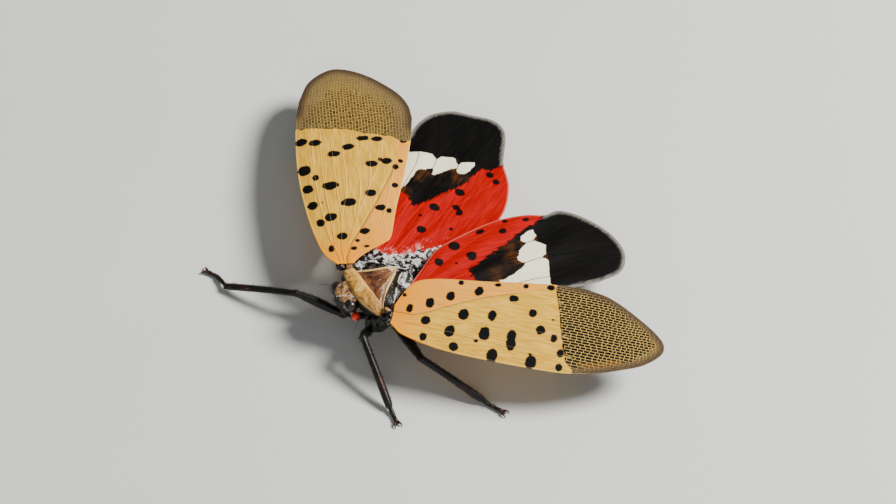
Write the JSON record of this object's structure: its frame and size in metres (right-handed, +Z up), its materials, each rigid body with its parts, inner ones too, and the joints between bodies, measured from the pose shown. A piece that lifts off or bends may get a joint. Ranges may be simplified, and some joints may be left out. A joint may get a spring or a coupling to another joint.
{
  "type": "spotted lanternfly, still life-size model",
  "caption": "Spotted lanternfly standing on its legs with spotted tan forewings spread and red, white and black hindwings half open, as a still life-size model.",
  "frame": {"origin": "on the floor plane that the feet stand on, under the centre of the whole insect's box", "axes": "+Z up; -Y towards the head and +Y towards the tail end; +X towards the insect's own left side"},
  "size_m": [0.0408, 0.0304, 0.0058],
  "materials": {
    "forewing": "leathery tan wing with black spots and a dark netted tip, satin",
    "hindwing": "thin wing, red at the base with black spots, a white band and a black tip, satin",
    "collar": "tan shell with faint creases, satin",
    "shield": "purplish brown shell with tan borders, satin",
    "dark_shell": "black shell, slightly glossy, with short bristles",
    "waxy_shell": "black shell dusted with white wax",
    "head_shell": "grey-brown crown and black face, with lines of white wax",
    "eye": "dark compound eye, glossy",
    "antenna": "orange-red bead with fine pits"
  },
  "bodies": {
    "root": {"head": "head_shell", "eye_left": "eye", "eye_right": "eye", "antenna_left": "antenna", "antenna_right": "antenna", "rostrum": "dark_shell", "prothorax": "collar", "mesothorax": "shield", "metathorax": "waxy_shell", "abdomen": "waxy_shell", "forewing_left": "forewing", "forewing_right": "forewing", "hindwing_left": "hindwing", "hindwing_right": "hindwing", "leg_fore_left": "dark_shell", "leg_fore_right": "dark_shell", "leg_mid_left": "dark_shell", "leg_mid_right": "dark_shell", "leg_hind_left": "dark_shell", "leg_hind_right": "dark_shell"}
  },
  "joints": []
}
